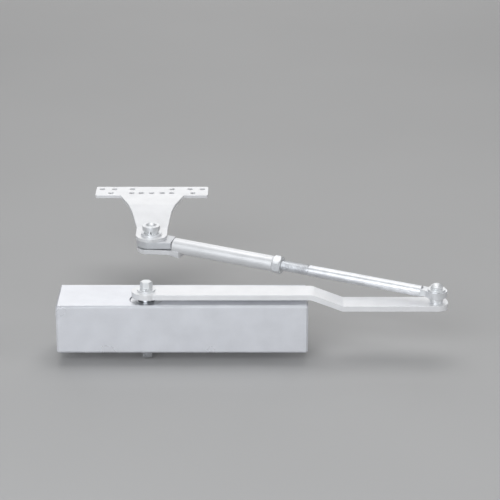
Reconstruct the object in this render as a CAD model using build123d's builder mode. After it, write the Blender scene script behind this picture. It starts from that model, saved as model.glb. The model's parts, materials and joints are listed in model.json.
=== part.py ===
from build123d import *
import math
import os

# Surface-mounted hydraulic door closer with a jointed arm, in millimetres.
# The origin is the middle of the screw pattern on the door's face. X runs along the closer's
# body, -Y points away from the door and Z is up. The arm is stored folded back over the body.

# ---- cover ----
COVER_LENGTH = 228.0
COVER_DEPTH = 54.0
COVER_HEIGHT = 46.0
COVER_WALL = 1.5
COVER_BEVEL = 1.6
COVER_TOP = COVER_HEIGHT / 2
INNER_TOP = COVER_TOP - COVER_WALL
DOOR_GAP = 0.5
COVER_SCREW_X = 70.0
COVER_SCREW_Y = -13.0
COVER_SCREW_R = 2.0
COVER_SCREW_HEAD_R = 3.6
COVER_SCREW_HEAD = 1.6
COVER_SCREW_LENGTH = 8.0

# ---- spindle position and hydraulic bore ----
SPINDLE_X = -32.6
SPINDLE_Y = -36.5
BORE_R = 12.5
PISTON_R = 12.42

# ---- body casting and mounting plate ----
CASTING_HALF = 96.0
CASTING_FRONT = -(COVER_DEPTH - COVER_WALL)
PLATE_THICK = 3.0
FOOT_THICK = 10.0
FOOT_HALF = 111.0
FOOT_HEIGHT = 38.0
FOOT_CORNER = 4.0
CASTING_CORNER = 2.5
DOOR_SCREW_X = 104.0
DOOR_SCREW_Z = 11.0
DOOR_SCREW_R = 2.75
PLATE_SCREW_X = 60.0
PLATE_SCREW_R = 2.0
PLATE_SCREW_HEAD_R = 4.0
PLATE_SCREW_LENGTH = 12.0
PLUG_LENGTH = 12.0
PLUG_HEX = 8.0
SEAL_WIDTH = 2.4
SEAL_DEPTH = 1.4

# ---- closing speed valves ----
VALVE_Y = -14.0
VALVE_Z = 8.0
VALVE_R = 3.0
VALVE_FIT = 0.05
VALVE_LENGTH = 22.0
VALVE_HOLE_R = 3.6
VALVE_SLOT = 0.8
VALVE_SLOT_DEPTH = 1.5
VALVE_POINT = 2.0
PASSAGE_R = 1.4
PASSAGE_END = -80.0

# ---- rack and pinion ----
GEAR_MODULE = 1.5
GEAR_TEETH = 10
FLANK_STEPS = 5
TOOTH_SINK = 1.0
RACK_SINK = 0.5
PRESSURE_ANGLE = math.radians(25)
ADDENDUM = 0.7 * GEAR_MODULE
ROOT_CLEARANCE = 0.35
BACKLASH = 0.30
PITCH_R = GEAR_MODULE * GEAR_TEETH / 2
TIP_R = PITCH_R + ADDENDUM
ROOT_R = PITCH_R - ADDENDUM - ROOT_CLEARANCE
TOOTH_PITCH = math.pi * GEAR_MODULE
PINION_HALF = 7.0
SWING = math.radians(170)
TRAVEL = PITCH_R * SWING
WINDOW_CLEARANCE = 0.7
PISTON_HEAD = 11.0

# ---- spindle ----
UPPER_SHAFT_R = 7.0
LOWER_SHAFT_R = 6.0
SHAFT_FIT = 0.04
TOP_SQUARE = 10.0
TOP_SQUARE_SHORT = 0.3
STUB_SQUARE = 8.7
STUB_BOTTOM = -33.0
STUB_EDGE = 0.8
STUB_HOLE_R = 6.8
COLLAR_R = 14.6
COLLAR_TOP = COVER_TOP - 0.7
COLLAR_EDGE = 0.3
COLLAR_HOLE_R = 15.4
CAP_LIP = 1.2
CAP_LIP_GAP = 0.6
CAP_R = 13.0
CAP_BOTTOM = 13.0
UPPER_SEAL = 3.0
UPPER_SEAL_TOP = COLLAR_TOP - CAP_LIP
UPPER_SEAL_BOTTOM = UPPER_SEAL_TOP - UPPER_SEAL
LOWER_SEAL_TOP = -18.5
LOWER_RING_TOP = -20.5
UPPER_BEARING_R = 10.0
LOWER_BEARING_R = 9.5

# ---- main arm ----
ARM_LENGTH = 263.4
ARM_WIDTH = 24.0
ARM_END_R = 13.4
ARM_THICK = 5.0
ARM_TOP = 31.5
ARM_DROP = 11.0
ARM_TIP = 10.5
ARM_TIP_CORNER = 9.5
JOG_START = 149.3
JOG_END = 177.8
JOG_BEND_R = 7.0
ARM_LOW_TOP = ARM_TOP - ARM_DROP
ARM_BOTTOM = ARM_TOP - ARM_THICK
ARM_LOW_BOTTOM = ARM_LOW_TOP - ARM_THICK

# ---- arm screw ----
ARM_WASHER_R = 8.3
ARM_WASHER_THICK = 1.6
ARM_SPRING_R = 5.8
ARM_SPRING_THICK = 1.7
ARM_BOLT_AF = 10.0
ARM_BOLT_HEAD = 5.5
ARM_BOLT_EDGE = 0.7
ARM_BOLT_R = 3.0
ARM_BOLT_DEPTH = 18.0
BOLT_GAP = 0.2
TAP_SPARE = 1.0
SPRING_CUT = 0.9
SPRING_CUT_TURN = 20

# ---- forearm ----
FOREARM_LENGTH = 289.25
ELBOW_ANGLE = 24.12
ROD_ELBOW_Z = 27.9
ROD_SHOE_Z = 36.6
SHANK_R = 5.1
SHANK_EDGE = 0.8
THREAD_R = 5.0
ROD_END = 75.0
THREAD_END = 164.0
THREAD_PITCH = 1.5
THREAD_DEPTH = 0.9
THREAD_FLANK = 0.4
EYE_R = 9.6
EYE_BOTTOM = 25.9
EYE_TOP = 31.7
NECK_LENGTH = 13.5
NECK_HALF = 4.9
NECK_SINK = 1.0
TUBE_R = 7.4
TUBE_EDGE = 0.6
TUBE_START = 24.8
TUBE_END = 128.7
TUBE_BORE_R = 5.06
SPIGOT_END = 50.0
NUT_START = 128.8
NUT_LENGTH = 8.0
NUT_AF = 16.0
NUT_CORNER_R = 8.8
NUT_FACE_R = 7.8
NUT_CONE = 1.2

# ---- elbow joint ----
ELBOW_SHOULDER_R = 6.0
ELBOW_STUD_R = 5.0
ELBOW_JOURNAL_R = 4.6
ELBOW_FIT = 0.06
ELBOW_SHOULDER_TOP = EYE_BOTTOM - 0.1
ELBOW_THREAD_R = 3.0
ELBOW_WASHER_R = 8.0
ELBOW_WASHER_BOTTOM = EYE_TOP + 0.1
ELBOW_WASHER_TOP = 33.4
ELBOW_CAP_R = 5.5
ELBOW_DOME_R = 4.9
ELBOW_CAP_SHOULDER = 36.0
ELBOW_CAP_TOP = 38.4
ELBOW_RIVET_R = 7.5
ELBOW_RIVET_THICK = 2.0
ELBOW_RIVET_EDGE = 1.5

# ---- shoe joint at the bracket end ----
RUNNING_GAP = 0.05
TONGUE_BOTTOM = 27.8
TONGUE_TOP = 32.0
TONGUE_R = 14.3
TONGUE_WAIST = 20.0
TONGUE_END = 32.0
TONGUE_HALF = 7.0
WEB_START = 23.8
WEB_HALF = 4.0
WEDGE_START = 16.0
WEDGE_BOTTOM = 25.3
WEDGE_HALF = 5.5
SPACER_R = 9.0
BLOCK_BOTTOM = 33.6
BLOCK_R = 14.3
BLOCK_FRONT = 19.0
BLOCK_TIP = (23.5, 3.0)
BLOCK_REAR_TURN = math.radians(63)
BLOCK_EDGE = 0.5
PAD_BOTTOM = 40.1
SHEET = 3.0
PAD_TOP = PAD_BOTTOM + SHEET
SHOE_PIN_R = 6.0
SHOE_THREAD_R = 4.0
SHOE_FIT = 0.06
SHOE_WASHER_R = 9.8
SHOE_WASHER_BOTTOM = PAD_TOP + RUNNING_GAP
SHOE_WASHER_TOP = 45.3
SHOE_SPRING_R = 7.0
SHOE_SPRING_TOP = 48.1
SHOE_CAP_R = 8.4
SHOE_CAP_SHOULDER = 52.7
SHOE_DOME_R = 5.0
SHOE_CAP_TOP = 55.7

# ---- bracket, measured from the shoe pivot ----
BRACKET_TOP = 53.3
BRACKET_WIDTH = 112.6
BRACKET_CENTRE = -3.7
BRACKET_BACK = 115.4
BRACKET_DEPTH = 27.2
BRACKET_CORNER = 2.0
PAD_R = 15.0
PAD_BEND = 20.0
WEB_BEND = 60.5
WEB_NECK = 48.0
WEB_NECK_LEFT = -21.0
WEB_NECK_RIGHT = 17.7
WEB_FOOT_LEFT = -34.5
WEB_FOOT_RIGHT = 28.5
SHEET_BEND_R = 6.0
SCREW_HOLE_R = 2.8
SCREW_ROW_INSET = 7.5
SCREW_ROW_PITCH = 12.5
BACK_ROW = BRACKET_BACK - SCREW_ROW_INSET
FRONT_ROW = BACK_ROW - SCREW_ROW_PITCH
BACK_ROW_OFFSETS = (20.0, 38.0, 50.4)
FRONT_ROW_OFFSETS = (10.5, 20.0, 41.0)

# ---- cap nuts ----
CAP_WALL = 2.0
CAP_EDGE = 0.4

# ---- closing spring ----
SPRING_WIRE_R = 1.7
SPRING_R = 9.4
SPRING_TURNS = 11
SPRING_SPARE = 0.5

# ---- derived places and directions ----
ELBOW_X = SPINDLE_X + ARM_LENGTH
ELBOW_Y = SPINDLE_Y
FOREARM_RAD = math.radians(ELBOW_ANGLE)
ROD_SLOPE = (ROD_SHOE_Z - ROD_ELBOW_Z) / FOREARM_LENGTH
ROD_FALL = math.atan(ROD_SLOPE)
FOREARM_LEVEL = (math.cos(FOREARM_RAD), -math.sin(FOREARM_RAD), 0)
FOREARM_SIDE = (math.sin(FOREARM_RAD), math.cos(FOREARM_RAD), 0)
FOREARM_OUT = (-math.sin(FOREARM_RAD), -math.cos(FOREARM_RAD), 0)
ROD_AXIS = (
    math.cos(FOREARM_RAD) * math.cos(ROD_FALL),
    -math.sin(FOREARM_RAD) * math.cos(ROD_FALL),
    -math.sin(ROD_FALL),
)
ROD_UP = (
    math.cos(FOREARM_RAD) * math.sin(ROD_FALL),
    -math.sin(FOREARM_RAD) * math.sin(ROD_FALL),
    math.cos(ROD_FALL),
)
SHOE_X = ELBOW_X - FOREARM_LENGTH * math.cos(FOREARM_RAD)
SHOE_Y = ELBOW_Y + FOREARM_LENGTH * math.sin(FOREARM_RAD)
ARM_WASHER_TOP = ARM_TOP + ARM_WASHER_THICK
ARM_SPRING_TOP = ARM_WASHER_TOP + ARM_SPRING_THICK
PISTON_REACH = TIP_R + WINDOW_CLEARANCE
WINDOW_LEFT = SPINDLE_X - PISTON_REACH - TRAVEL
WINDOW_RIGHT = SPINDLE_X + PISTON_REACH
PISTON_LEFT = WINDOW_LEFT - PISTON_HEAD
PISTON_RIGHT = WINDOW_RIGHT + PISTON_HEAD
PLUG_INNER = CASTING_HALF - PLUG_LENGTH
CASTING_MID_Y = (CASTING_FRONT - PLATE_THICK) / 2
RACK_Y = SPINDLE_Y + PITCH_R
RACK_TIP = RACK_Y - ADDENDUM
RACK_ROOT = RACK_Y + ADDENDUM + ROOT_CLEARANCE
RACK_TEETH = int(TRAVEL / TOOTH_PITCH) + 4
RACK_TIP_HALF = TOOTH_PITCH / 4 - BACKLASH / 2 - ADDENDUM * math.tan(PRESSURE_ANGLE)
RACK_ROOT_HALF = TOOTH_PITCH / 4 - BACKLASH / 2 + (ADDENDUM + ROOT_CLEARANCE) * math.tan(PRESSURE_ANGLE)
RACK_FIRST = SPINDLE_X - TOOTH_PITCH * (RACK_TEETH - 2)
SPRING_LEFT = PISTON_RIGHT + SPRING_WIRE_R + SPRING_SPARE
SPRING_RIGHT = PLUG_INNER - SPRING_WIRE_R - SPRING_SPARE
BRACKET_LEFT = BRACKET_CENTRE - BRACKET_WIDTH / 2
BRACKET_RIGHT = BRACKET_CENTRE + BRACKET_WIDTH / 2
BRACKET_FRONT = BRACKET_BACK - BRACKET_DEPTH
SHEET_BOTTOM = BRACKET_TOP - SHEET

os.makedirs("parts", exist_ok=True)


# ---- shared helpers ----
def upright_side(x, y):
    """A vertical plane through the upright line at x, y, for profiles turned about it."""
    return Plane(origin=(x, y, 0), x_dir=(1, 0, 0), z_dir=(0, -1, 0))


def across_x(x, y, z):
    """A plane square to X, for pieces that lie along the body."""
    return Plane(origin=(x, y, z), x_dir=(0, 1, 0), z_dir=(1, 0, 0))


def across_rod(distance):
    """A plane square to the forearm's rod, at a distance from the shoe pivot towards the elbow."""
    origin = (
        SHOE_X + distance * ROD_AXIS[0],
        SHOE_Y + distance * ROD_AXIS[1],
        ROD_SHOE_Z + distance * ROD_AXIS[2],
    )
    return Plane(origin=origin, x_dir=ROD_UP, z_dir=ROD_AXIS)


def along_rod():
    """The upright plane through the rod's axis, with its X along the rod from the shoe pivot."""
    return Plane(origin=(SHOE_X, SHOE_Y, ROD_SHOE_Z), x_dir=ROD_AXIS, z_dir=FOREARM_SIDE)


def forearm_level(height):
    """A level plane at a height, with its origin on the shoe pivot and its X along the forearm."""
    return Plane(origin=(SHOE_X, SHOE_Y, height), x_dir=FOREARM_LEVEL, z_dir=(0, 0, 1))


def turned(x, y, profile):
    """A piece turned about the upright line at x, y, from radius and height pairs."""
    with BuildPart() as piece:
        with BuildSketch(upright_side(x, y)):
            with BuildLine():
                Polyline(*profile, close=True)
            make_face()
        revolve(axis=Axis((x, y, 0), (0, 0, 1)))
    return piece


def ring(x, y, outer, inner, bottom, top):
    """A flat ring or bush about the upright line at x, y."""
    return turned(x, y, [(inner, bottom), (outer, bottom), (outer, top), (inner, top)])


# ---- cover: a folded shell, open towards the door ----
with BuildPart() as cover:
    with BuildSketch(Plane.XZ.offset(DOOR_GAP)):
        Rectangle(COVER_LENGTH, COVER_HEIGHT)
    extrude(amount=COVER_DEPTH - DOOR_GAP)
    front_face = cover.faces().sort_by(Axis.Y)[0]
    long_edges = cover.edges().filter_by(Axis.Y)
    chamfer(front_face.edges() + long_edges, COVER_BEVEL)
    with BuildSketch(Plane.XZ.offset(DOOR_GAP)):
        Rectangle(COVER_LENGTH - 2 * COVER_WALL, COVER_HEIGHT - 2 * COVER_WALL)
    extrude(amount=COVER_DEPTH - DOOR_GAP - COVER_WALL, mode=Mode.SUBTRACT)
    with BuildSketch(Plane.XY.offset(INNER_TOP - COVER_WALL)):
        with Locations((SPINDLE_X, SPINDLE_Y)):
            Circle(COLLAR_HOLE_R)
    extrude(amount=4 * COVER_WALL, mode=Mode.SUBTRACT)
    with BuildSketch(Plane.XY.offset(-COVER_TOP - COVER_WALL)):
        with Locations((SPINDLE_X, SPINDLE_Y)):
            Circle(STUB_HOLE_R)
        with Locations((-COVER_SCREW_X, COVER_SCREW_Y), (COVER_SCREW_X, COVER_SCREW_Y)):
            Circle(COVER_SCREW_R)
    extrude(amount=4 * COVER_WALL, mode=Mode.SUBTRACT)
    with BuildSketch(across_x(COVER_LENGTH / 2 - 2 * COVER_WALL, VALVE_Y, 0)):
        with Locations((0, VALVE_Z), (0, -VALVE_Z)):
            Circle(VALVE_HOLE_R)
    extrude(amount=4 * COVER_WALL, mode=Mode.SUBTRACT)
cover.part.label = "cover"
export_step(cover.part, "parts/cover.step")

# ---- body casting: the hydraulic cylinder with a foot at each end ----
with BuildPart() as body_casting:
    with BuildSketch(Plane.YZ.offset(-CASTING_HALF)):
        with Locations((CASTING_MID_Y, 0)):
            RectangleRounded(-CASTING_FRONT - PLATE_THICK, 2 * INNER_TOP, CASTING_CORNER)
    extrude(amount=2 * CASTING_HALF)
    with BuildSketch(Plane.XZ.offset(PLATE_THICK)):
        RectangleRounded(2 * FOOT_HALF, FOOT_HEIGHT, FOOT_CORNER)
    extrude(amount=FOOT_THICK)
    with BuildSketch(across_x(-CASTING_HALF, SPINDLE_Y, 0)):
        Circle(BORE_R)
    extrude(amount=2 * CASTING_HALF, mode=Mode.SUBTRACT)
    # stepped upright bore for the spindle and its bearings
    with BuildSketch(Plane.XY):
        with Locations((SPINDLE_X, SPINDLE_Y)):
            Circle(TIP_R + WINDOW_CLEARANCE)
    extrude(amount=COVER_TOP, mode=Mode.SUBTRACT)
    with BuildSketch(Plane.XY.offset(CAP_BOTTOM)):
        with Locations((SPINDLE_X, SPINDLE_Y)):
            Circle(CAP_R)
    extrude(amount=COVER_TOP, mode=Mode.SUBTRACT)
    with BuildSketch(Plane.XY):
        with Locations((SPINDLE_X, SPINDLE_Y)):
            Circle(LOWER_SHAFT_R + WINDOW_CLEARANCE)
    extrude(amount=-COVER_TOP, mode=Mode.SUBTRACT)
    with BuildSketch(Plane.XY.offset(-CAP_BOTTOM)):
        with Locations((SPINDLE_X, SPINDLE_Y)):
            Circle(LOWER_BEARING_R)
    extrude(amount=-COVER_TOP, mode=Mode.SUBTRACT)
    # screw holes through the feet, and threaded holes for the plate and cover screws
    with BuildSketch(Plane.XZ):
        with GridLocations(2 * DOOR_SCREW_X, 2 * DOOR_SCREW_Z, 2, 2):
            Circle(DOOR_SCREW_R)
    extrude(amount=2 * FOOT_THICK, mode=Mode.SUBTRACT)
    with BuildSketch(Plane.XZ):
        with Locations((-PLATE_SCREW_X, 0), (PLATE_SCREW_X, 0)):
            Circle(PLATE_SCREW_R)
    extrude(amount=PLATE_SCREW_LENGTH, mode=Mode.SUBTRACT)
    with BuildSketch(Plane.XY.offset(-COVER_TOP)):
        with Locations((-COVER_SCREW_X, COVER_SCREW_Y), (COVER_SCREW_X, COVER_SCREW_Y)):
            Circle(COVER_SCREW_R)
    extrude(amount=COVER_SCREW_LENGTH, mode=Mode.SUBTRACT)
    # valve bores, the oil passages behind them and the ports into the cylinder
    with BuildSketch(across_x(CASTING_HALF, VALVE_Y, 0)):
        with Locations((0, VALVE_Z), (0, -VALVE_Z)):
            Circle(VALVE_R + VALVE_FIT)
    extrude(amount=-VALVE_LENGTH, mode=Mode.SUBTRACT)
    with BuildSketch(across_x(CASTING_HALF, VALVE_Y, 0)):
        with Locations((0, VALVE_Z), (0, -VALVE_Z)):
            Circle(PASSAGE_R)
    extrude(amount=PASSAGE_END - CASTING_HALF, mode=Mode.SUBTRACT)
    with BuildSketch(Plane.XZ.offset(-VALVE_Y)):
        with GridLocations(2 * PASSAGE_END, 2 * VALVE_Z, 2, 2):
            Circle(PASSAGE_R)
    extrude(amount=BORE_R + 2 * PASSAGE_R, mode=Mode.SUBTRACT)
body_casting.part.label = "body_casting"
export_step(body_casting.part, "parts/body_casting.step")

# ---- mounting plate: the flat sheet that lies on the door ----
with BuildPart() as mounting_plate:
    with BuildSketch(Plane.XZ):
        RectangleRounded(2 * FOOT_HALF, FOOT_HEIGHT, FOOT_CORNER)
        with GridLocations(2 * DOOR_SCREW_X, 2 * DOOR_SCREW_Z, 2, 2):
            Circle(DOOR_SCREW_R, mode=Mode.SUBTRACT)
        with Locations((-PLATE_SCREW_X, 0), (PLATE_SCREW_X, 0)):
            Circle(PLATE_SCREW_R, mode=Mode.SUBTRACT)
    extrude(amount=PLATE_THICK)
    for screw_x in (-PLATE_SCREW_X, PLATE_SCREW_X):
        with BuildSketch(Plane(origin=(screw_x, 0, 0), x_dir=(0, -1, 0), z_dir=(0, 0, 1))):
            with BuildLine():
                Polyline(
                    (0, 0),
                    (0, PLATE_SCREW_HEAD_R),
                    (PLATE_SCREW_R, PLATE_SCREW_R),
                    (PLATE_SCREW_R, 0),
                    close=True,
                )
            make_face()
        revolve(axis=Axis((screw_x, 0, 0), (0, 1, 0)), mode=Mode.SUBTRACT)
mounting_plate.part.label = "mounting_plate"
export_step(mounting_plate.part, "parts/mounting_plate.step")

# ---- countersunk screws from the back of the plate into the casting ----
with BuildPart() as plate_screws:
    for screw_x in (-PLATE_SCREW_X, PLATE_SCREW_X):
        with BuildSketch(Plane(origin=(screw_x, 0, 0), x_dir=(0, -1, 0), z_dir=(0, 0, 1))):
            with BuildLine():
                Polyline(
                    (0, 0),
                    (0, PLATE_SCREW_HEAD_R),
                    (PLATE_SCREW_R, PLATE_SCREW_R),
                    (PLATE_SCREW_LENGTH, PLATE_SCREW_R),
                    (PLATE_SCREW_LENGTH, 0),
                    close=True,
                )
            make_face()
        revolve(axis=Axis((screw_x, 0, 0), (0, 1, 0)))
plate_screws.part.label = "plate_screws"
export_step(plate_screws.part, "parts/plate_screws.step")

# ---- screws that hold the cover from below ----
with BuildPart() as cover_screws:
    with BuildSketch(Plane.XY.offset(-COVER_TOP)):
        with Locations((-COVER_SCREW_X, COVER_SCREW_Y), (COVER_SCREW_X, COVER_SCREW_Y)):
            Circle(COVER_SCREW_R)
    extrude(amount=COVER_SCREW_LENGTH)
    with BuildSketch(Plane.XY.offset(-COVER_TOP)):
        with Locations((-COVER_SCREW_X, COVER_SCREW_Y), (COVER_SCREW_X, COVER_SCREW_Y)):
            Circle(COVER_SCREW_HEAD_R)
    extrude(amount=-COVER_SCREW_HEAD)
    chamfer(cover_screws.faces().group_by(Axis.Z)[0].edges(), COVER_SCREW_HEAD / 3)
cover_screws.part.label = "cover_screws"
export_step(cover_screws.part, "parts/cover_screws.step")


# ---- end plugs that close the cylinder, each with its sealing ring ----
def end_plug(side):
    """A plug with a hexagonal key hole outside and a groove for its seal; side is -1 or 1."""
    with BuildPart() as plug:
        with BuildSketch(across_x(side * PLUG_INNER, SPINDLE_Y, 0)):
            Circle(BORE_R)
        extrude(amount=side * PLUG_LENGTH)
        with BuildSketch(across_x(side * CASTING_HALF, SPINDLE_Y, 0)):
            RegularPolygon(PLUG_HEX / 2, 6, major_radius=False)
        extrude(amount=-side * PLUG_LENGTH / 2, mode=Mode.SUBTRACT)
        with BuildSketch(across_x(side * (PLUG_INNER + SEAL_WIDTH), SPINDLE_Y, 0)):
            Circle(BORE_R + SEAL_DEPTH)
            Circle(BORE_R - SEAL_DEPTH, mode=Mode.SUBTRACT)
        extrude(amount=side * SEAL_WIDTH, mode=Mode.SUBTRACT)
    return plug


left_end_plug = end_plug(-1)
left_end_plug.part.label = "left_end_plug"
export_step(left_end_plug.part, "parts/left_end_plug.step")

right_end_plug = end_plug(1)
right_end_plug.part.label = "right_end_plug"
export_step(right_end_plug.part, "parts/right_end_plug.step")

with BuildPart() as plug_seals:
    for side in (-1, 1):
        with BuildSketch(across_x(side * (PLUG_INNER + SEAL_WIDTH), SPINDLE_Y, 0)):
            Circle(BORE_R)
            Circle(BORE_R - SEAL_DEPTH, mode=Mode.SUBTRACT)
        extrude(amount=side * SEAL_WIDTH)
plug_seals.part.label = "plug_seals"
export_step(plug_seals.part, "parts/plug_seals.step")

# ---- upper bearing cap: its rim is the collar in the cover's top ----
upper_bearing_cap = turned(
    SPINDLE_X,
    SPINDLE_Y,
    [
        (UPPER_BEARING_R, CAP_BOTTOM),
        (CAP_R, CAP_BOTTOM),
        (CAP_R, INNER_TOP),
        (COLLAR_R, INNER_TOP),
        (COLLAR_R, COLLAR_TOP - COLLAR_EDGE),
        (COLLAR_R - COLLAR_EDGE, COLLAR_TOP),
        (UPPER_SHAFT_R + CAP_LIP_GAP, COLLAR_TOP),
        (UPPER_SHAFT_R + CAP_LIP_GAP, UPPER_SEAL_TOP),
        (UPPER_BEARING_R, UPPER_SEAL_TOP),
    ],
)
upper_bearing_cap.part.label = "upper_bearing_cap"
export_step(upper_bearing_cap.part, "parts/upper_bearing_cap.step")

upper_bearing = ring(
    SPINDLE_X, SPINDLE_Y, UPPER_BEARING_R, UPPER_SHAFT_R + SHAFT_FIT, CAP_BOTTOM, UPPER_SEAL_BOTTOM
)
upper_bearing.part.label = "upper_bearing"
export_step(upper_bearing.part, "parts/upper_bearing.step")

upper_shaft_seal = ring(
    SPINDLE_X, SPINDLE_Y, UPPER_BEARING_R, UPPER_SHAFT_R + SHAFT_FIT, UPPER_SEAL_BOTTOM, UPPER_SEAL_TOP
)
upper_shaft_seal.part.label = "upper_shaft_seal"
export_step(upper_shaft_seal.part, "parts/upper_shaft_seal.step")

# ---- lower bearing, seal and retaining ring ----
lower_bearing = ring(
    SPINDLE_X, SPINDLE_Y, LOWER_BEARING_R, LOWER_SHAFT_R + SHAFT_FIT, LOWER_SEAL_TOP, -CAP_BOTTOM
)
lower_bearing.part.label = "lower_bearing"
export_step(lower_bearing.part, "parts/lower_bearing.step")

lower_shaft_seal = ring(
    SPINDLE_X, SPINDLE_Y, LOWER_BEARING_R, LOWER_SHAFT_R + SHAFT_FIT, LOWER_RING_TOP, LOWER_SEAL_TOP
)
lower_shaft_seal.part.label = "lower_shaft_seal"
export_step(lower_shaft_seal.part, "parts/lower_shaft_seal.step")

lower_retaining_ring = ring(
    SPINDLE_X, SPINDLE_Y, LOWER_BEARING_R, STUB_HOLE_R, -INNER_TOP, LOWER_RING_TOP
)
lower_retaining_ring.part.label = "lower_retaining_ring"
export_step(lower_retaining_ring.part, "parts/lower_retaining_ring.step")


# ---- closing speed and latching speed valves ----
def valve_screw(height):
    """A slotted needle valve that lies along the casting at a height."""
    with BuildPart() as valve:
        with BuildSketch(across_x(CASTING_HALF, VALVE_Y, height)):
            Circle(VALVE_R)
        extrude(amount=-(VALVE_LENGTH - VALVE_R))
        with BuildSketch(across_x(CASTING_HALF, VALVE_Y, height)):
            Rectangle(2 * VALVE_R, VALVE_SLOT)
        extrude(amount=-VALVE_SLOT_DEPTH, mode=Mode.SUBTRACT)
        chamfer(valve.faces().sort_by(Axis.X)[0].edges(), VALVE_POINT)
    return valve


sweep_valve = valve_screw(VALVE_Z)
sweep_valve.part.label = "sweep_valve"
export_step(sweep_valve.part, "parts/sweep_valve.step")

latch_valve = valve_screw(-VALVE_Z)
latch_valve.part.label = "latch_valve"
export_step(latch_valve.part, "parts/latch_valve.step")


# ---- spindle with its pinion ----
def pinion_tooth():
    """Corners of one tooth on +X, with involute flanks from the base circle to the tip."""
    base_r = PITCH_R * math.cos(PRESSURE_ANGLE)
    half_pitch_angle = (TOOTH_PITCH / 2 - BACKLASH) / (2 * PITCH_R)
    pitch_involute = math.tan(PRESSURE_ANGLE) - PRESSURE_ANGLE
    flank = []
    for step in range(FLANK_STEPS + 1):
        radius = base_r + (TIP_R - base_r) * step / FLANK_STEPS
        roll = math.acos(base_r / radius)
        turn = half_pitch_angle + pitch_involute - (math.tan(roll) - roll)
        flank.append((radius * math.cos(turn), radius * math.sin(turn)))
    foot_turn = half_pitch_angle + pitch_involute
    inside = ROOT_R - TOOTH_SINK
    foot = (inside * math.cos(foot_turn), inside * math.sin(foot_turn))
    upper = [foot] + flank
    lower = [(x, -y) for x, y in reversed(upper)]
    return upper + lower


with BuildPart() as pinion_shaft:
    with BuildSketch(Plane.XY.offset(-PINION_HALF)):
        with Locations((SPINDLE_X, SPINDLE_Y)):
            Circle(ROOT_R)
        with Locations((SPINDLE_X, SPINDLE_Y)):
            # a tooth gap faces the rack at rest
            with PolarLocations(0, GEAR_TEETH, start_angle=90 + 180 / GEAR_TEETH):
                Polygon(*pinion_tooth(), align=None)
    extrude(amount=2 * PINION_HALF)
    with BuildSketch(Plane.XY.offset(PINION_HALF)):
        with Locations((SPINDLE_X, SPINDLE_Y)):
            Circle(UPPER_SHAFT_R)
    extrude(amount=ARM_BOTTOM - PINION_HALF)
    with BuildSketch(Plane.XY.offset(ARM_BOTTOM)):
        with Locations((SPINDLE_X, SPINDLE_Y)):
            Rectangle(TOP_SQUARE, TOP_SQUARE)
    extrude(amount=ARM_THICK - TOP_SQUARE_SHORT)
    with BuildSketch(Plane.XY.offset(-PINION_HALF)):
        with Locations((SPINDLE_X, SPINDLE_Y)):
            Circle(LOWER_SHAFT_R)
    extrude(amount=LOWER_RING_TOP + PINION_HALF)
    with BuildSketch(Plane.XY.offset(LOWER_RING_TOP)):
        with Locations((SPINDLE_X, SPINDLE_Y)):
            Rectangle(STUB_SQUARE, STUB_SQUARE)
    extrude(amount=STUB_BOTTOM - LOWER_RING_TOP)
    chamfer(pinion_shaft.faces().sort_by(Axis.Z)[0].edges(), STUB_EDGE)
    with BuildSketch(Plane.XY.offset(ARM_TOP)):
        with Locations((SPINDLE_X, SPINDLE_Y)):
            Circle(ARM_BOLT_R)
    extrude(amount=-ARM_BOLT_DEPTH - TAP_SPARE, mode=Mode.SUBTRACT)
pinion_shaft.part.label = "pinion_shaft"
export_step(pinion_shaft.part, "parts/pinion_shaft.step")

# ---- piston with the rack cut in one side of its window ----
with BuildPart() as piston:
    with BuildSketch(across_x(PISTON_LEFT, SPINDLE_Y, 0)):
        Circle(PISTON_R)
    extrude(amount=PISTON_RIGHT - PISTON_LEFT)
    with BuildSketch(Plane.XY.offset(-PISTON_R)):
        with Locations(((WINDOW_LEFT + WINDOW_RIGHT) / 2, (RACK_ROOT + SPINDLE_Y - PISTON_REACH) / 2)):
            Rectangle(WINDOW_RIGHT - WINDOW_LEFT, RACK_ROOT - SPINDLE_Y + PISTON_REACH)
    extrude(amount=2 * PISTON_R, mode=Mode.SUBTRACT)
    with BuildSketch(Plane.XY.offset(-PINION_HALF)):
        for tooth in range(RACK_TEETH):
            middle = RACK_FIRST + tooth * TOOTH_PITCH
            with BuildLine():
                Polyline(
                    (middle - RACK_ROOT_HALF, RACK_ROOT + RACK_SINK),
                    (middle - RACK_ROOT_HALF, RACK_ROOT),
                    (middle - RACK_TIP_HALF, RACK_TIP),
                    (middle + RACK_TIP_HALF, RACK_TIP),
                    (middle + RACK_ROOT_HALF, RACK_ROOT),
                    (middle + RACK_ROOT_HALF, RACK_ROOT + RACK_SINK),
                    close=True,
                )
            make_face()
    extrude(amount=2 * PINION_HALF)
    # groove for the piston ring and a pocket for the check valve in the head that faces the spring
    with BuildSketch(across_x(PISTON_RIGHT - 3 * SEAL_WIDTH, SPINDLE_Y, 0)):
        Circle(BORE_R + SEAL_DEPTH)
        Circle(BORE_R - SEAL_DEPTH, mode=Mode.SUBTRACT)
    extrude(amount=SEAL_WIDTH, mode=Mode.SUBTRACT)
    with BuildSketch(across_x(PISTON_RIGHT, SPINDLE_Y, 0)):
        Circle(VALVE_R)
    extrude(amount=-PISTON_HEAD, mode=Mode.SUBTRACT)
piston.part.label = "piston"
export_step(piston.part, "parts/piston.step")

with BuildPart() as piston_ring:
    with BuildSketch(across_x(PISTON_RIGHT - 3 * SEAL_WIDTH, SPINDLE_Y, 0)):
        Circle(PISTON_R)
        Circle(BORE_R - SEAL_DEPTH, mode=Mode.SUBTRACT)
    extrude(amount=SEAL_WIDTH)
piston_ring.part.label = "piston_ring"
export_step(piston_ring.part, "parts/piston_ring.step")

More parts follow.
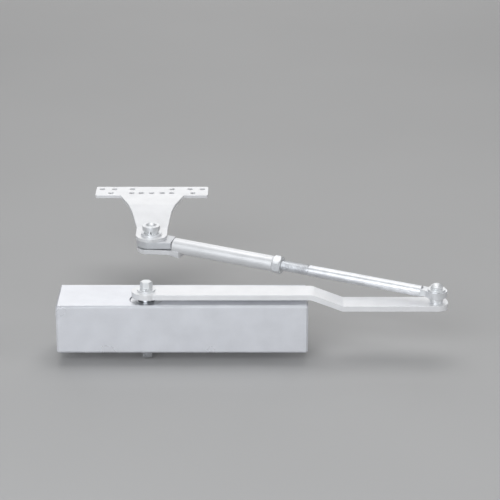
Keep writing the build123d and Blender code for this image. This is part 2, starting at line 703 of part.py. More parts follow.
with BuildPart() as check_valve:
    with BuildSketch(across_x(PISTON_RIGHT, SPINDLE_Y, 0)):
        Circle(VALVE_R)
        Circle(PASSAGE_R, mode=Mode.SUBTRACT)
    extrude(amount=TOOTH_SINK - PISTON_HEAD)
check_valve.part.label = "check_valve"
export_step(check_valve.part, "parts/check_valve.step")

# ---- closing spring between the piston and the right end plug ----
spring_coil = Helix(
    pitch=(SPRING_RIGHT - SPRING_LEFT) / SPRING_TURNS,
    height=SPRING_RIGHT - SPRING_LEFT,
    radius=SPRING_R,
    center=(SPRING_LEFT, SPINDLE_Y, 0),
    direction=(1, 0, 0),
)
with BuildPart() as main_spring:
    with BuildSketch(Plane(origin=spring_coil @ 0, z_dir=spring_coil % 0)):
        Circle(SPRING_WIRE_R)
    sweep(path=spring_coil, is_frenet=True)
main_spring.part.label = "main_spring"
export_step(main_spring.part, "parts/main_spring.step")

# ---- main arm: a flat bar that steps down past the end of the cover ----
with BuildPart() as main_arm:
    with BuildSketch(Plane.XZ.offset(-SPINDLE_Y - ARM_END_R)):
        with BuildLine():
            FilletPolyline(
                (SPINDLE_X - ARM_END_R, ARM_BOTTOM),
                (SPINDLE_X + JOG_START, ARM_BOTTOM),
                (SPINDLE_X + JOG_END, ARM_LOW_BOTTOM),
                (ELBOW_X + ARM_TIP, ARM_LOW_BOTTOM),
                radius=JOG_BEND_R,
            )
            offset(amount=ARM_THICK, side=Side.LEFT)
        make_face()
    extrude(amount=2 * ARM_END_R)
    with BuildSketch(Plane.XY) as arm_outline:
        with Locations((SPINDLE_X, SPINDLE_Y)):
            Circle(ARM_END_R)
        with Locations(((SPINDLE_X + ELBOW_X + ARM_TIP) / 2, SPINDLE_Y)):
            Rectangle(ARM_LENGTH + ARM_TIP, ARM_WIDTH)
        fillet(arm_outline.vertices().sort_by(Axis.X)[-2:], ARM_TIP_CORNER)
    extrude(amount=2 * COVER_HEIGHT, mode=Mode.INTERSECT)
    with BuildSketch(Plane.XY):
        with Locations((SPINDLE_X, SPINDLE_Y)):
            Rectangle(TOP_SQUARE, TOP_SQUARE)
        with Locations((ELBOW_X, ELBOW_Y)):
            Circle(ELBOW_STUD_R)
    extrude(amount=2 * COVER_HEIGHT, mode=Mode.SUBTRACT)
main_arm.part.label = "main_arm"
export_step(main_arm.part, "parts/main_arm.step")

# ---- washers and screw that clamp the arm on the spindle ----
arm_washer = ring(SPINDLE_X, SPINDLE_Y, ARM_WASHER_R, ARM_BOLT_R + BOLT_GAP, ARM_TOP, ARM_WASHER_TOP)
arm_washer.part.label = "arm_washer"
export_step(arm_washer.part, "parts/arm_washer.step")


def split_washer(x, y, outer, inner, bottom, top):
    """A spring washer with one cut through its ring."""
    with BuildPart() as washer:
        with BuildSketch(Plane.XY.offset(bottom)):
            with Locations((x, y)):
                Circle(outer)
                Circle(inner, mode=Mode.SUBTRACT)
            with Locations(Location((x, y - outer), SPRING_CUT_TURN)):
                Rectangle(SPRING_CUT, 2 * (outer - inner), mode=Mode.SUBTRACT)
        extrude(amount=top - bottom)
    return washer


arm_spring_washer = split_washer(
    SPINDLE_X, SPINDLE_Y, ARM_SPRING_R, ARM_BOLT_R + BOLT_GAP, ARM_WASHER_TOP, ARM_SPRING_TOP
)
arm_spring_washer.part.label = "arm_spring_washer"
export_step(arm_spring_washer.part, "parts/arm_spring_washer.step")

with BuildPart() as arm_bolt:
    with BuildSketch(Plane.XY.offset(ARM_SPRING_TOP)):
        with Locations((SPINDLE_X, SPINDLE_Y)):
            RegularPolygon(ARM_BOLT_AF / 2, 6, major_radius=False)
    extrude(amount=ARM_BOLT_HEAD)
    chamfer(arm_bolt.faces().sort_by(Axis.Z)[-1].edges(), ARM_BOLT_EDGE)
    with BuildSketch(Plane.XY.offset(ARM_SPRING_TOP)):
        with Locations((SPINDLE_X, SPINDLE_Y)):
            Circle(ARM_BOLT_R)
    extrude(amount=ARM_TOP - ARM_BOLT_DEPTH - ARM_SPRING_TOP)
arm_bolt.part.label = "arm_bolt"
export_step(arm_bolt.part, "parts/arm_bolt.step")

# ---- elbow: a shouldered stud riveted in the main arm, with a washer and a domed cap nut ----
elbow_stud = turned(
    ELBOW_X,
    ELBOW_Y,
    [
        (0, ARM_LOW_BOTTOM - ELBOW_RIVET_THICK),
        (ELBOW_RIVET_R - ELBOW_RIVET_EDGE, ARM_LOW_BOTTOM - ELBOW_RIVET_THICK),
        (ELBOW_RIVET_R, ARM_LOW_BOTTOM - ELBOW_RIVET_THICK / 2),
        (ELBOW_RIVET_R, ARM_LOW_BOTTOM),
        (ELBOW_STUD_R, ARM_LOW_BOTTOM),
        (ELBOW_STUD_R, ARM_LOW_TOP),
        (ELBOW_SHOULDER_R, ARM_LOW_TOP),
        (ELBOW_SHOULDER_R, ELBOW_SHOULDER_TOP),
        (ELBOW_JOURNAL_R, ELBOW_SHOULDER_TOP),
        (ELBOW_JOURNAL_R, ELBOW_WASHER_BOTTOM),
        (ELBOW_THREAD_R, ELBOW_WASHER_BOTTOM),
        (ELBOW_THREAD_R, ELBOW_CAP_TOP - CAP_WALL),
        (0, ELBOW_CAP_TOP - CAP_WALL),
    ],
)
elbow_stud.part.label = "elbow_stud"
export_step(elbow_stud.part, "parts/elbow_stud.step")

elbow_washer = ring(
    ELBOW_X, ELBOW_Y, ELBOW_WASHER_R, ELBOW_THREAD_R, ELBOW_WASHER_BOTTOM, ELBOW_WASHER_TOP
)
elbow_washer.part.label = "elbow_washer"
export_step(elbow_washer.part, "parts/elbow_washer.step")


def cap_nut(x, y, shoulder_r, dome_r, thread_r, bottom, shoulder, top):
    """A round cap nut with a domed end over a blind thread."""
    dome_bottom = shoulder + CAP_EDGE
    dome_rise = top - dome_bottom
    dome_curve = (dome_r**2 + dome_rise**2) / (2 * dome_rise)
    with BuildPart() as nut:
        with BuildSketch(upright_side(x, y)):
            with BuildLine():
                Polyline(
                    (0, top - CAP_WALL),
                    (thread_r, top - CAP_WALL),
                    (thread_r, bottom),
                    (shoulder_r - CAP_EDGE, bottom),
                    (shoulder_r, bottom + CAP_EDGE),
                    (shoulder_r, shoulder),
                    (dome_r, dome_bottom),
                )
                RadiusArc((dome_r, dome_bottom), (0, top), -dome_curve)
                Line((0, top), (0, top - CAP_WALL))
            make_face()
        revolve(axis=Axis((x, y, 0), (0, 0, 1)))
    return nut


elbow_cap_nut = cap_nut(
    ELBOW_X,
    ELBOW_Y,
    ELBOW_CAP_R,
    ELBOW_DOME_R,
    ELBOW_THREAD_R,
    ELBOW_WASHER_TOP,
    ELBOW_CAP_SHOULDER,
    ELBOW_CAP_TOP,
)
elbow_cap_nut.part.label = "elbow_cap_nut"
export_step(elbow_cap_nut.part, "parts/elbow_cap_nut.step")

# ---- forearm rod: a forged eye at the elbow, a plain shank and a thread that enters the tube ----
with BuildPart() as forearm_rod:
    with BuildSketch(across_rod(THREAD_END)):
        Circle(SHANK_R)
    extrude(amount=FOREARM_LENGTH - NECK_LENGTH - THREAD_END)
    chamfer(forearm_rod.edges().filter_by(GeomType.CIRCLE), SHANK_EDGE)
    # flattened neck that widens into the eye
    with BuildSketch(forearm_level(EYE_BOTTOM)):
        with BuildLine():
            Polyline(
                (FOREARM_LENGTH - NECK_LENGTH - NECK_SINK, -NECK_HALF),
                (FOREARM_LENGTH - EYE_R, -NECK_HALF),
                (FOREARM_LENGTH, -EYE_R),
                (FOREARM_LENGTH, EYE_R),
                (FOREARM_LENGTH - EYE_R, NECK_HALF),
                (FOREARM_LENGTH - NECK_LENGTH - NECK_SINK, NECK_HALF),
                close=True,
            )
        make_face()
        with Locations((FOREARM_LENGTH, 0)):
            Circle(EYE_R)
    extrude(amount=EYE_TOP - EYE_BOTTOM)
    # thread, as rings one pitch apart
    with BuildSketch(along_rod()):
        with BuildLine():
            crests = [(ROD_END, 0), (ROD_END, THREAD_R - THREAD_DEPTH)]
            for turn in range(int((THREAD_END - ROD_END) / THREAD_PITCH)):
                start = ROD_END + turn * THREAD_PITCH
                crests.append((start + THREAD_FLANK * THREAD_PITCH, THREAD_R))
                crests.append((start + (1 - THREAD_FLANK) * THREAD_PITCH, THREAD_R))
                crests.append((start + THREAD_PITCH, THREAD_R - THREAD_DEPTH))
            crests.append((THREAD_END + NECK_SINK, THREAD_R - THREAD_DEPTH))
            crests.append((THREAD_END + NECK_SINK, 0))
            Polyline(*crests, close=True)
        make_face()
    revolve(axis=Axis(along_rod().origin, ROD_AXIS))
    with BuildSketch(Plane.XY):
        with Locations((ELBOW_X, ELBOW_Y)):
            Circle(ELBOW_JOURNAL_R + ELBOW_FIT)
    extrude(amount=2 * COVER_HEIGHT, mode=Mode.SUBTRACT)
forearm_rod.part.label = "forearm_rod"
export_step(forearm_rod.part, "parts/forearm_rod.step")

# ---- lock nut that fixes the forearm's length ----
with BuildPart() as lock_nut:
    with BuildSketch(across_rod(NUT_START)):
        RegularPolygon(NUT_AF / 2, 6, major_radius=False)
    extrude(amount=NUT_LENGTH)
    # the corners are turned down, with a cone at both ends
    with BuildSketch(along_rod()):
        with BuildLine():
            Polyline(
                (NUT_START, 0),
                (NUT_START, NUT_FACE_R),
                (NUT_START + NUT_CONE, NUT_CORNER_R),
                (NUT_START + NUT_LENGTH - NUT_CONE, NUT_CORNER_R),
                (NUT_START + NUT_LENGTH, NUT_FACE_R),
                (NUT_START + NUT_LENGTH, 0),
                close=True,
            )
        make_face()
    revolve(axis=Axis(along_rod().origin, ROD_AXIS), mode=Mode.INTERSECT)
    with BuildSketch(across_rod(NUT_START)):
        Circle(TUBE_BORE_R)
    extrude(amount=NUT_LENGTH, mode=Mode.SUBTRACT)
lock_nut.part.label = "lock_nut"
export_step(lock_nut.part, "parts/lock_nut.step")

# ---- forearm tube ----
with BuildPart() as forearm_tube:
    with BuildSketch(across_rod(TUBE_START)):
        Circle(TUBE_R)
        Circle(TUBE_BORE_R, mode=Mode.SUBTRACT)
    extrude(amount=TUBE_END - TUBE_START)
    tube_rims = forearm_tube.edges().filter_by(GeomType.CIRCLE).sort_by(SortBy.RADIUS)[-2:]
    chamfer(tube_rims, TUBE_EDGE)
forearm_tube.part.label = "forearm_tube"
export_step(forearm_tube.part, "parts/forearm_tube.step")

# ---- tongue: a spigot in the tube, a web and a flat end that carries the shoe pin ----
with BuildPart() as tube_tongue:
    with BuildSketch(across_rod(WEB_START)):
        Circle(TUBE_BORE_R)
    extrude(amount=SPIGOT_END - WEB_START)
    with BuildSketch(forearm_level(TONGUE_BOTTOM)):
        with BuildLine():
            Polyline(
                (0, -TONGUE_R),
                (TONGUE_WAIST, -TONGUE_HALF),
                (TONGUE_END, -TONGUE_HALF),
                (TONGUE_END, TONGUE_HALF),
                (TONGUE_WAIST, TONGUE_HALF),
                (0, TONGUE_R),
            )
            ThreePointArc((0, TONGUE_R), (-TONGUE_R, 0), (0, -TONGUE_R))
        make_face()
    extrude(amount=TONGUE_TOP - TONGUE_BOTTOM)
    with BuildSketch(forearm_level(TONGUE_BOTTOM)):
        with Locations(((WEB_START + TUBE_START - RUNNING_GAP) / 2, 0)):
            Rectangle(TUBE_START - RUNNING_GAP - WEB_START, 2 * WEB_HALF)
    extrude(amount=ROD_SHOE_Z - TONGUE_BOTTOM)
    # wedge under the end of the tube
    with BuildSketch(Plane(origin=(SHOE_X, SHOE_Y, 0), x_dir=FOREARM_LEVEL, z_dir=FOREARM_OUT)):
        with BuildLine():
            Polyline(
                (WEDGE_START, TONGUE_BOTTOM),
                (TONGUE_END, WEDGE_BOTTOM),
                (TONGUE_END, TONGUE_TOP),
                (WEDGE_START, TONGUE_TOP),
                close=True,
            )
        make_face()
    extrude(amount=WEDGE_HALF, both=True)
    # the end of the tube lies in a saddle on the flat end
    with BuildSketch(across_rod(TUBE_START)):
        Circle(TUBE_R)
        Circle(TUBE_BORE_R, mode=Mode.SUBTRACT)
    extrude(amount=TONGUE_END, mode=Mode.SUBTRACT)
    with BuildSketch(forearm_level(0)):
        Circle(SHOE_PIN_R)
    extrude(amount=2 * COVER_HEIGHT, mode=Mode.SUBTRACT)
tube_tongue.part.label = "tube_tongue"
export_step(tube_tongue.part, "parts/tube_tongue.step")

tongue_spacer = ring(SHOE_X, SHOE_Y, SPACER_R, SHOE_PIN_R, TONGUE_TOP, BLOCK_BOTTOM)
tongue_spacer.part.label = "tongue_spacer"
export_step(tongue_spacer.part, "parts/tongue_spacer.step")

# ---- hold-open block under the bracket's pad: round about the shoe pivot, slanting towards the tube ----
block_rear = (BLOCK_R * math.cos(BLOCK_REAR_TURN), BLOCK_R * math.sin(BLOCK_REAR_TURN))
with BuildPart() as hold_open_block:
    with BuildSketch(Plane(origin=(SHOE_X, SHOE_Y, BLOCK_BOTTOM), z_dir=(0, 0, 1))):
        with BuildLine():
            Polyline(
                (0, -BLOCK_R),
                (BLOCK_FRONT, -BLOCK_R),
                BLOCK_TIP,
                block_rear,
            )
            ThreePointArc(block_rear, (-BLOCK_R, 0), (0, -BLOCK_R))
        make_face()
    extrude(amount=PAD_BOTTOM - RUNNING_GAP - BLOCK_BOTTOM)
    chamfer(hold_open_block.faces().sort_by(Axis.Z)[-1].edges(), BLOCK_EDGE)
    with BuildSketch(forearm_level(0)):
        Circle(SHOE_PIN_R)
    extrude(amount=2 * COVER_HEIGHT, mode=Mode.SUBTRACT)
hold_open_block.part.label = "hold_open_block"
export_step(hold_open_block.part, "parts/hold_open_block.step")

# ---- shoe pivot: pin, washers and cap nut ----
shoe_pin = turned(
    SHOE_X,
    SHOE_Y,
    [
        (0, TONGUE_BOTTOM),
        (SHOE_PIN_R, TONGUE_BOTTOM),
        (SHOE_PIN_R, SHOE_WASHER_BOTTOM),
        (SHOE_THREAD_R, SHOE_WASHER_BOTTOM),
        (SHOE_THREAD_R, SHOE_CAP_TOP - CAP_WALL),
        (0, SHOE_CAP_TOP - CAP_WALL),
    ],
)
shoe_pin.part.label = "shoe_pin"
export_step(shoe_pin.part, "parts/shoe_pin.step")

shoe_washer = ring(SHOE_X, SHOE_Y, SHOE_WASHER_R, SHOE_THREAD_R, SHOE_WASHER_BOTTOM, SHOE_WASHER_TOP)
shoe_washer.part.label = "shoe_washer"
export_step(shoe_washer.part, "parts/shoe_washer.step")

shoe_spring_washer = split_washer(
    SHOE_X, SHOE_Y, SHOE_SPRING_R, SHOE_THREAD_R, SHOE_WASHER_TOP, SHOE_SPRING_TOP
)
shoe_spring_washer.part.label = "shoe_spring_washer"
export_step(shoe_spring_washer.part, "parts/shoe_spring_washer.step")

shoe_cap_nut = cap_nut(
    SHOE_X, SHOE_Y, SHOE_CAP_R, SHOE_DOME_R, SHOE_THREAD_R, SHOE_SPRING_TOP, SHOE_CAP_SHOULDER, SHOE_CAP_TOP
)
shoe_cap_nut.part.label = "shoe_cap_nut"
export_step(shoe_cap_nut.part, "parts/shoe_cap_nut.step")

# ---- bracket: bent sheet with a round pad, a sloping web and a drilled flange ----
with BuildPart() as bracket:
    with BuildSketch(Plane(origin=(SHOE_X + BRACKET_LEFT, SHOE_Y, 0), x_dir=(0, 1, 0), z_dir=(1, 0, 0))):
        with BuildLine():
            FilletPolyline(
                (-PAD_R, PAD_BOTTOM),
                (PAD_BEND, PAD_BOTTOM),
                (WEB_BEND, SHEET_BOTTOM),
                (BRACKET_BACK, SHEET_BOTTOM),
                radius=SHEET_BEND_R,
            )
            offset(amount=SHEET, side=Side.LEFT)
        make_face()
    extrude(amount=BRACKET_WIDTH)
    with BuildSketch(Plane(origin=(SHOE_X, SHOE_Y, 0), z_dir=(0, 0, 1))):
        with BuildLine():
            Polyline(
                (PAD_R, 0),
                (PAD_R, PAD_BEND),
                (WEB_NECK_RIGHT, WEB_NECK),
                (WEB_FOOT_RIGHT, BRACKET_FRONT),
                (BRACKET_RIGHT, BRACKET_FRONT),
                (BRACKET_RIGHT, BRACKET_BACK),
                (BRACKET_LEFT, BRACKET_BACK),
                (BRACKET_LEFT, BRACKET_FRONT),
                (WEB_FOOT_LEFT, BRACKET_FRONT),
                (WEB_NECK_LEFT, WEB_NECK),
                (-PAD_R, PAD_BEND),
                (-PAD_R, 0),
            )
            ThreePointArc((-PAD_R, 0), (0, -PAD_R), (PAD_R, 0))
        make_face()
    extrude(amount=2 * COVER_HEIGHT, mode=Mode.INTERSECT)
    with BuildSketch(Plane(origin=(SHOE_X, SHOE_Y, 0), z_dir=(0, 0, 1))):
        Circle(SHOE_PIN_R + SHOE_FIT)
        for offset_x in BACK_ROW_OFFSETS:
            with Locations((BRACKET_CENTRE - offset_x, BACK_ROW), (BRACKET_CENTRE + offset_x, BACK_ROW)):
                Circle(SCREW_HOLE_R)
        for offset_x in FRONT_ROW_OFFSETS:
            with Locations((BRACKET_CENTRE - offset_x, FRONT_ROW), (BRACKET_CENTRE + offset_x, FRONT_ROW)):
                Circle(SCREW_HOLE_R)
        with Locations((BRACKET_CENTRE, FRONT_ROW)):
            Circle(SCREW_HOLE_R)
    extrude(amount=2 * COVER_HEIGHT, mode=Mode.SUBTRACT)
    upright_edges = bracket.edges().filter_by(Axis.Z).sort_by(Axis.X)
    flange_corners = upright_edges[:2] + upright_edges[-2:]
    fillet(flange_corners, BRACKET_CORNER)
bracket.part.label = "bracket"
export_step(bracket.part, "parts/bracket.step")
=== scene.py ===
import json
import math

import bpy
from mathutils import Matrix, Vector


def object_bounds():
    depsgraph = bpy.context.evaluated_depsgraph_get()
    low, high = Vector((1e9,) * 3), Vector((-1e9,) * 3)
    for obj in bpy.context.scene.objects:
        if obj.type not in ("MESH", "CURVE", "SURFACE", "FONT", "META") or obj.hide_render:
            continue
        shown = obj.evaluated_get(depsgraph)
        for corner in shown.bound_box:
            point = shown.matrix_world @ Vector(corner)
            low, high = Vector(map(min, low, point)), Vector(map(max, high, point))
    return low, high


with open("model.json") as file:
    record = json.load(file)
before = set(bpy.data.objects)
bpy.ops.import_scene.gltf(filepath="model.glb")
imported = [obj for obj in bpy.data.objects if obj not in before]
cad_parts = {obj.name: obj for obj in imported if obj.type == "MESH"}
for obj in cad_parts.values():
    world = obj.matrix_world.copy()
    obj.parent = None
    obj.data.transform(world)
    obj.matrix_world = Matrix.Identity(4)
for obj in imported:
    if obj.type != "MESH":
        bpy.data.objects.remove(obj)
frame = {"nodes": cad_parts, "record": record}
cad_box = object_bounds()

MM = 0.001

# ---- camera ----------------------------------------------------------------------
CAMERA_PLACE = (61.5 * MM, -1754.0 * MM, 697.7 * MM)
CAMERA_TILT = math.radians(69.94)
CAMERA_LENS = 146.16
CAMERA_REACH = 20.0
SENSOR = 36.0

# ---- floor -----------------------------------------------------------------------
FLOOR_SIZE = 6.0
FLOOR_CENTRE_Y = 0.6
FLOOR_DROP = 2.0 * MM
FLOOR_TINT = (0.50, 0.495, 0.49)
FLOOR_SHADE = 0.97
FLOOR_GRAIN = 3.0
FLOOR_ROUGH = 0.9

# ---- lights: name, place, size, power and colour of each soft box ------------------
WHITE = (1.0, 1.0, 1.0)
COOL_WHITE = (0.94, 0.97, 1.0)
LIGHT_AIM = (0.06, 0.0, 0.0)
LIGHTS = (
    ("back_softbox", (0.05, 2.0, 0.95), 1.9, 12.5, WHITE),
    ("top_softbox", (0.05, 0.3, 1.5), 1.2, 9.0, WHITE),
    ("front_fill", (-0.5, -1.6, 0.7), 1.4, 23.0, COOL_WHITE),
    ("side_strip", (1.3, -0.5, 0.6), 0.7, 2.5, WHITE),
)
WORLD_COLOUR = (0.86, 0.89, 0.93, 1.0)
WORLD_STRENGTH = 0.20

# ---- surface values shared by the materials ----------------------------------------
EDGE_RADIUS = 0.35 * MM
EDGE_SAMPLES = 8
WEAR_START = 0.995
WEAR_FULL = 0.80
NOISE_LOW = 0.3
NOISE_HIGH = 0.7
NO_STRETCH = (1.0, 1.0, 1.0)

# ---- silver enamel: shades are dark, bright and worn factors on the tint ------------
ENAMEL_SHADES = (0.93, 1.05, 1.12)
ENAMEL_ROUGH_SPREAD = (-0.05, 0.06)
CLOUD_GRAIN = 55.0
FLAKE_GRAIN = 5200.0
FLAKE_LOW = 0.2
FLAKE_HIGH = 1.8
WEAR_GRAIN = 420.0
WEAR_THIN = 0.25
WEAR_THICK = 0.8
SMUDGE_GRAIN = 26.0
PEEL_GRAIN = 900.0
PEEL_DEPTH = 0.05 * MM
COAT_WEIGHT = 0.18
COAT_ROUGH = 0.28

# ---- plated, turned and cast metal -------------------------------------------------
STEEL_SHADES = (0.86, 1.06, 1.18)
STEEL_ROUGH_SPREAD = (-0.07, 0.08)
STEEL_CLOUD_GRAIN = 120.0
STEEL_GRAIN = 1400.0
STEEL_DEPTH = 0.03 * MM
ZINC_GRAIN = 2600.0
ZINC_EDGE = 0.18 * MM
ROD_EDGE = 0.08 * MM
CAST_SHADES = (0.80, 1.15)
CAST_ROUGH_SPREAD = (-0.06, 0.10)
CAST_SAND_GRAIN = 1500.0
CAST_SWELL_GRAIN = 160.0
CAST_METALLIC = 0.9
CAST_STRENGTH = 0.5
CAST_DEPTH = 0.10 * MM

# ---- seal rubber -------------------------------------------------------------------
RUBBER_DARK = (0.018, 0.018, 0.019)
RUBBER_PALE = (0.045, 0.045, 0.047)
RUBBER_EDGE = (0.07, 0.07, 0.07)
RUBBER_ROUGH = (0.55, 0.75)
RUBBER_GRAIN = 900.0
RUBBER_STRENGTH = 0.3
RUBBER_DEPTH = 0.04 * MM


# ---- small helpers for node trees ----------------------------------------------------
def new_tree(name):
    """A material with one Principled shader; returns the material, its tree and the shader."""
    material = bpy.data.materials.new(name)
    material.use_nodes = True
    tree = material.node_tree
    return material, tree, tree.nodes["Principled BSDF"]


def shaded(tint, factor):
    """A tint made darker or lighter, with no channel over 1."""
    return tuple(min(1.0, channel * factor) for channel in tint)


def mapped_noise(tree, scale, detail=3.0, stretch=NO_STRETCH):
    """Noise in the object's own coordinates; stretch scales them along each axis."""
    coordinates = tree.nodes.new("ShaderNodeTexCoord")
    mapping = tree.nodes.new("ShaderNodeMapping")
    mapping.inputs["Scale"].default_value = stretch
    noise = tree.nodes.new("ShaderNodeTexNoise")
    noise.inputs["Scale"].default_value = scale
    noise.inputs["Detail"].default_value = detail
    tree.links.new(coordinates.outputs["Object"], mapping.inputs["Vector"])
    tree.links.new(mapping.outputs["Vector"], noise.inputs["Vector"])
    return noise.outputs["Fac"]


def ranged(tree, value, low, high, start=NOISE_LOW, end=NOISE_HIGH):
    """A value between start and end, remapped to low and high."""
    node = tree.nodes.new("ShaderNodeMapRange")
    node.inputs["From Min"].default_value = start
    node.inputs["From Max"].default_value = end
    node.inputs["To Min"].default_value = low
    node.inputs["To Max"].default_value = high
    tree.links.new(value, node.inputs["Value"])
    return node.outputs["Result"]


def mixed(tree, factor, first, second):
    """A colour between two; each is a colour or a socket."""
    node = tree.nodes.new("ShaderNodeMix")
    node.data_type = "RGBA"
    tree.links.new(factor, node.inputs["Factor"])
    for socket, colour in (("A", first), ("B", second)):
        place = [s for s in node.inputs if s.name == socket and s.type == "RGBA"][0]
        if isinstance(colour, tuple):
            place.default_value = (*colour, 1.0)
        else:
            tree.links.new(colour, place)
    return [s for s in node.outputs if s.type == "RGBA"][0]


def combined(tree, first, second, operation="ADD"):
    """Two values joined by a math operation."""
    node = tree.nodes.new("ShaderNodeMath")
    node.operation = operation
    tree.links.new(first, node.inputs[0])
    tree.links.new(second, node.inputs[1])
    return node.outputs["Value"]


def rounded_edges(tree, radius):
    """The normal with softened edges, and a mask that is 1 on an edge and 0 on a flat."""
    bevel = tree.nodes.new("ShaderNodeBevel")
    bevel.samples = EDGE_SAMPLES
    bevel.inputs["Radius"].default_value = radius
    geometry = tree.nodes.new("ShaderNodeNewGeometry")
    dot = tree.nodes.new("ShaderNodeVectorMath")
    dot.operation = "DOT_PRODUCT"
    tree.links.new(bevel.outputs["Normal"], dot.inputs[0])
    tree.links.new(geometry.outputs["Normal"], dot.inputs[1])
    mask = ranged(tree, dot.outputs["Value"], 1.0, 0.0, WEAR_FULL, WEAR_START)
    return bevel.outputs["Normal"], mask


def bumped(tree, shader, height, strength, distance, normal):
    """Feeds the shader a bump on top of the softened normal."""
    bump = tree.nodes.new("ShaderNodeBump")
    bump.inputs["Strength"].default_value = strength
    bump.inputs["Distance"].default_value = distance
    tree.links.new(height, bump.inputs["Height"])
    tree.links.new(normal, bump.inputs["Normal"])
    tree.links.new(bump.outputs["Normal"], shader.inputs["Normal"])


def roughened(tree, shader, value, rough, spread):
    """Roughness that follows a noise, by the spread below and above a middle value."""
    below, above = spread
    result = ranged(tree, value, rough + below, rough + above)
    tree.links.new(result, shader.inputs["Roughness"])


# ---- materials ------------------------------------------------------------------------
def enamel(name, tint, metallic, rough, peel=0.10, grain=FLAKE_GRAIN):
    """Silver stoving enamel: fine flake, faint orange peel, and paler where edges wear."""
    material, tree, shader = new_tree(name)
    dark, bright, worn = (shaded(tint, factor) for factor in ENAMEL_SHADES)
    cloud = ranged(tree, mapped_noise(tree, CLOUD_GRAIN, 4.0), 0.0, 1.0)
    flake = ranged(tree, mapped_noise(tree, grain, 1.0), 0.0, 1.0)
    both = ranged(tree, combined(tree, cloud, flake), 0.0, 1.0, FLAKE_LOW, FLAKE_HIGH)
    normal, edge = rounded_edges(tree, EDGE_RADIUS)
    thickness = ranged(tree, mapped_noise(tree, WEAR_GRAIN), WEAR_THIN, WEAR_THICK)
    patchy = combined(tree, edge, thickness, "MULTIPLY")
    colour = mixed(tree, patchy, mixed(tree, both, dark, bright), worn)
    tree.links.new(colour, shader.inputs["Base Color"])
    smudge = mapped_noise(tree, SMUDGE_GRAIN, 5.0)
    roughened(tree, shader, smudge, rough, ENAMEL_ROUGH_SPREAD)
    shader.inputs["Metallic"].default_value = metallic
    shader.inputs["Coat Weight"].default_value = COAT_WEIGHT
    shader.inputs["Coat Roughness"].default_value = COAT_ROUGH
    skin = combined(tree, mapped_noise(tree, PEEL_GRAIN, 2.0), mapped_noise(tree, grain, 1.0))
    bumped(tree, shader, skin, peel, PEEL_DEPTH, normal)
    return material


def worked_steel(name, tint, rough, stretch=NO_STRETCH, grain=STEEL_GRAIN, strength=0.25,
                 radius=EDGE_RADIUS, metallic=1.0):
    """Plated or turned metal: tool marks, slight clouding and bright edges."""
    material, tree, shader = new_tree(name)
    dark, bright, worn = (shaded(tint, factor) for factor in STEEL_SHADES)
    cloud = ranged(tree, mapped_noise(tree, STEEL_CLOUD_GRAIN, 4.0), 0.0, 1.0)
    marks = mapped_noise(tree, grain, 2.0, stretch)
    normal, edge = rounded_edges(tree, radius)
    colour = mixed(tree, edge, mixed(tree, cloud, dark, bright), worn)
    tree.links.new(colour, shader.inputs["Base Color"])
    roughened(tree, shader, marks, rough, STEEL_ROUGH_SPREAD)
    shader.inputs["Metallic"].default_value = metallic
    bumped(tree, shader, marks, strength, STEEL_DEPTH, normal)
    return material


def cast_metal(name, tint, rough):
    """Blasted aluminium casting: sandy grain with darker hollows."""
    material, tree, shader = new_tree(name)
    sand = mapped_noise(tree, CAST_SAND_GRAIN, 4.0)
    swell = mapped_noise(tree, CAST_SWELL_GRAIN, 3.0)
    dark, worn = (shaded(tint, factor) for factor in CAST_SHADES)
    normal, edge = rounded_edges(tree, 2 * EDGE_RADIUS)
    colour = mixed(tree, edge, mixed(tree, ranged(tree, swell, 0.0, 1.0), dark, tint), worn)
    tree.links.new(colour, shader.inputs["Base Color"])
    roughened(tree, shader, sand, rough, CAST_ROUGH_SPREAD)
    shader.inputs["Metallic"].default_value = CAST_METALLIC
    bumped(tree, shader, combined(tree, sand, swell), CAST_STRENGTH, CAST_DEPTH, normal)
    return material


def nitrile(name):
    """Matt black seal rubber with a faint moulded mottle."""
    material, tree, shader = new_tree(name)
    mottle = mapped_noise(tree, RUBBER_GRAIN, 3.0)
    normal, edge = rounded_edges(tree, EDGE_RADIUS)
    base = mixed(tree, ranged(tree, mottle, 0.0, 1.0), RUBBER_DARK, RUBBER_PALE)
    tree.links.new(mixed(tree, edge, base, RUBBER_EDGE), shader.inputs["Base Color"])
    tree.links.new(ranged(tree, mottle, *RUBBER_ROUGH), shader.inputs["Roughness"])
    bumped(tree, shader, mottle, RUBBER_STRENGTH, RUBBER_DEPTH, normal)
    return material


def floor_paint():
    """Plain matt studio floor with a trace of tone."""
    material, tree, shader = new_tree("floor_paint")
    tone = ranged(tree, mapped_noise(tree, FLOOR_GRAIN, 2.0), 0.0, 1.0)
    colour = mixed(tree, tone, shaded(FLOOR_TINT, FLOOR_SHADE), FLOOR_TINT)
    tree.links.new(colour, shader.inputs["Base Color"])
    shader.inputs["Roughness"].default_value = FLOOR_ROUGH
    return material


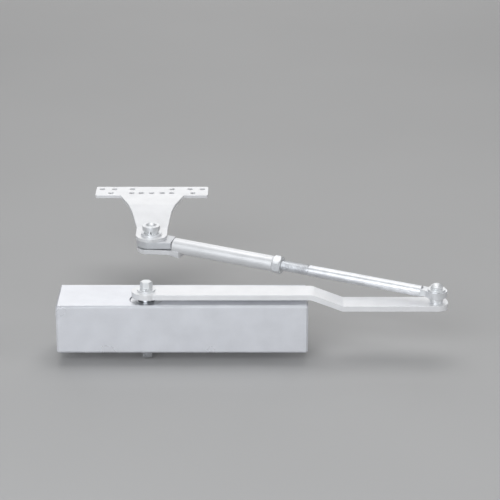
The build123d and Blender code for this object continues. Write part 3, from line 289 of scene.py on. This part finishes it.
def make_materials():
    """One material for each of the record's slots."""
    return {
        "cover_paint": enamel("cover_paint", (0.81, 0.82, 0.86), 0.45, 0.32, peel=0.05),
        "arm_paint": enamel("arm_paint", (0.88, 0.88, 0.89), 0.35, 0.36),
        "block_paint": enamel("block_paint", (0.70, 0.71, 0.73), 0.50, 0.40, peel=0.2, grain=3000.0),
        "casting": cast_metal("casting", (0.60, 0.61, 0.62), 0.50),
        "collar_metal": worked_steel("collar_metal", (0.74, 0.75, 0.77), 0.38),
        "plate_steel": worked_steel("plate_steel", (0.62, 0.63, 0.65), 0.42, (0.1, 1.0, 1.0)),
        "screw_steel": worked_steel("screw_steel", (0.68, 0.69, 0.70), 0.30),
        "plug_steel": worked_steel("plug_steel", (0.58, 0.59, 0.61), 0.35),
        "shaft_steel": worked_steel("shaft_steel", (0.60, 0.61, 0.63), 0.26, (1.0, 1.0, 6.0)),
        "spring_steel": worked_steel("spring_steel", (0.22, 0.22, 0.24), 0.38),
        "zinc": worked_steel("zinc", (0.86, 0.87, 0.88), 0.42, grain=ZINC_GRAIN, strength=0.08,
                             radius=ZINC_EDGE, metallic=0.55),
        "rod_zinc": worked_steel("rod_zinc", (0.86, 0.87, 0.89), 0.38, grain=ZINC_GRAIN,
                                 strength=0.06, radius=ROD_EDGE, metallic=0.6),
        "bearing_bronze": worked_steel("bearing_bronze", (0.60, 0.44, 0.25), 0.42),
        "valve_brass": worked_steel("valve_brass", (0.75, 0.60, 0.32), 0.30),
        "seal_rubber": nitrile("seal_rubber"),
    }


def dress_nodes(materials):
    """Gives every node the material of its slot in the record."""
    for subpart in frame["record"]["subparts"]:
        node = frame["nodes"][subpart["node"]]
        node.data.materials.clear()
        node.data.materials.append(materials[subpart["material_slot"]])


# ---- stage ----------------------------------------------------------------------------
def add_floor(lowest):
    """A plane just under the lowest point of the object."""
    place = (0.0, FLOOR_CENTRE_Y, lowest - FLOOR_DROP)
    bpy.ops.mesh.primitive_plane_add(size=FLOOR_SIZE, location=place)
    floor = bpy.context.object
    floor.name = "floor"
    floor.data.materials.append(floor_paint())


def add_light(name, place, size, power, colour):
    """A square soft box that faces the object."""
    lamp = bpy.data.lights.new(name, "AREA")
    lamp.size = size
    lamp.energy = power
    lamp.color = colour
    holder = bpy.data.objects.new(name, lamp)
    holder.location = place
    from_aim = holder.location - Vector(LIGHT_AIM)
    holder.rotation_euler = from_aim.to_track_quat("Z", "Y").to_euler()
    holder.visible_camera = False
    bpy.context.scene.collection.objects.link(holder)


def add_world():
    """Even light from all round."""
    world = bpy.data.worlds.new("studio")
    world.use_nodes = True
    background = world.node_tree.nodes["Background"]
    background.inputs["Color"].default_value = WORLD_COLOUR
    background.inputs["Strength"].default_value = WORLD_STRENGTH
    bpy.context.scene.world = world


def add_camera():
    """The camera at the photo's viewing angle."""
    lens = bpy.data.cameras.new("camera")
    lens.lens = CAMERA_LENS
    lens.sensor_width = SENSOR
    lens.clip_end = CAMERA_REACH
    camera = bpy.data.objects.new("camera", lens)
    camera.location = CAMERA_PLACE
    camera.rotation_euler = (CAMERA_TILT, 0.0, 0.0)
    bpy.context.scene.collection.objects.link(camera)
    bpy.context.scene.camera = camera


dress_nodes(make_materials())
add_floor(cad_box[0][2])
for light in LIGHTS:
    add_light(*light)
add_world()
add_camera()
bpy.context.scene.view_settings.view_transform = "Standard"
